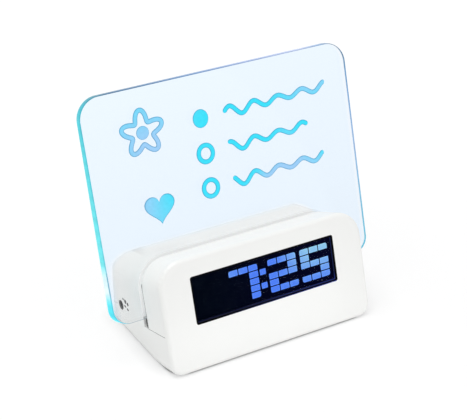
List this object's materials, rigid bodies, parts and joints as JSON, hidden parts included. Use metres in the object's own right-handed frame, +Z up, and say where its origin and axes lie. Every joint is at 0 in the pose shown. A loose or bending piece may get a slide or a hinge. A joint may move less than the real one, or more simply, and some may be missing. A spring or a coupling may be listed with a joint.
{
  "type": "memo board clock",
  "caption": "Desk clock with a dark digital display in a leaning white housing and a clear edge-lit writing board that stands in a slot behind the display",
  "frame": {"origin": "middle of the bounding box, on the surface that the rubber feet stand on", "axes": "+Z up, +X to the right of a person who looks at the display, the display faces -Y and leans back"},
  "size_m": [0.16, 0.0758, 0.1389],
  "materials": {
    "white_gloss": "gloss",
    "clear_board": "clear gloss",
    "dark_window": "gloss",
    "display_glass": "gloss",
    "light_source": "gloss",
    "circuit": "satin",
    "black_plastic": "satin",
    "soft_rubber": "matte",
    "steel": "bright",
    "cable": "satin",
    "cell": "satin"
  },
  "bodies": {
    "housing": {"front_cover": "white_gloss", "display_hood": "white_gloss", "rear_housing": "white_gloss", "base_shell": "white_gloss", "board_seat": "white_gloss", "led_board": "circuit", "edge_leds": "light_source", "display_window": "dark_window", "display_panel": "display_glass", "display_backlight": "light_source", "display_frame": "white_gloss", "contact_strips": "soft_rubber", "main_board": "circuit", "clock_chip": "black_plastic", "quartz_crystal": "steel", "buzzer": "black_plastic", "main_board_screws": "steel", "control_board": "circuit", "push_switches": "black_plastic", "slide_switch": "steel", "power_jack": "black_plastic", "control_board_screws": "steel", "ribbon_cable": "cable", "led_lead": "cable", "battery_1": "cell", "battery_2": "cell", "battery_3": "cell", "battery_contacts": "steel", "case_screws": "steel", "rubber_feet": "soft_rubber"},
    "message_board": {"message_board": "clear_board"},
    "battery_door": {"battery_door": "white_gloss"},
    "mode_button": {"mode_button": "white_gloss", "mode_plunger": "black_plastic"},
    "set_button": {"set_button": "white_gloss", "set_plunger": "black_plastic"},
    "up_button": {"up_button": "white_gloss", "up_plunger": "black_plastic"},
    "down_button": {"down_button": "white_gloss", "down_plunger": "black_plastic"},
    "light_button": {"light_button": "white_gloss", "light_plunger": "black_plastic"},
    "switch_knob": {"switch_knob": "black_plastic"}
  },
  "joints": [
    {"name": "board_lift", "type": "slide", "parent": "housing", "child": "message_board", "axis": [0, 0.2756, 0.9613], "range_m": [0, 0.027]},
    {"name": "battery_door_slide", "type": "slide", "parent": "housing", "child": "battery_door", "axis": [0, 1, 0], "range_m": [0, 0.03]},
    {"name": "mode_press", "type": "slide", "parent": "housing", "child": "mode_button", "axis": [0, -1, 0], "range_m": [0, 0.0005], "stiffness_N_per_m": 800, "springref_m": -0.0005},
    {"name": "set_press", "type": "slide", "parent": "housing", "child": "set_button", "axis": [0, -1, 0], "range_m": [0, 0.0005], "stiffness_N_per_m": 800, "springref_m": -0.0005},
    {"name": "up_press", "type": "slide", "parent": "housing", "child": "up_button", "axis": [0, -1, 0], "range_m": [0, 0.0005], "stiffness_N_per_m": 800, "springref_m": -0.0005},
    {"name": "down_press", "type": "slide", "parent": "housing", "child": "down_button", "axis": [0, -1, 0], "range_m": [0, 0.0005], "stiffness_N_per_m": 800, "springref_m": -0.0005},
    {"name": "light_press", "type": "slide", "parent": "housing", "child": "light_button", "axis": [0, -1, 0], "range_m": [0, 0.0005], "stiffness_N_per_m": 800, "springref_m": -0.0005},
    {"name": "switch_slide", "type": "slide", "parent": "housing", "child": "switch_knob", "axis": [1, 0, 0], "range_m": [0, 0.004]}
  ]
}
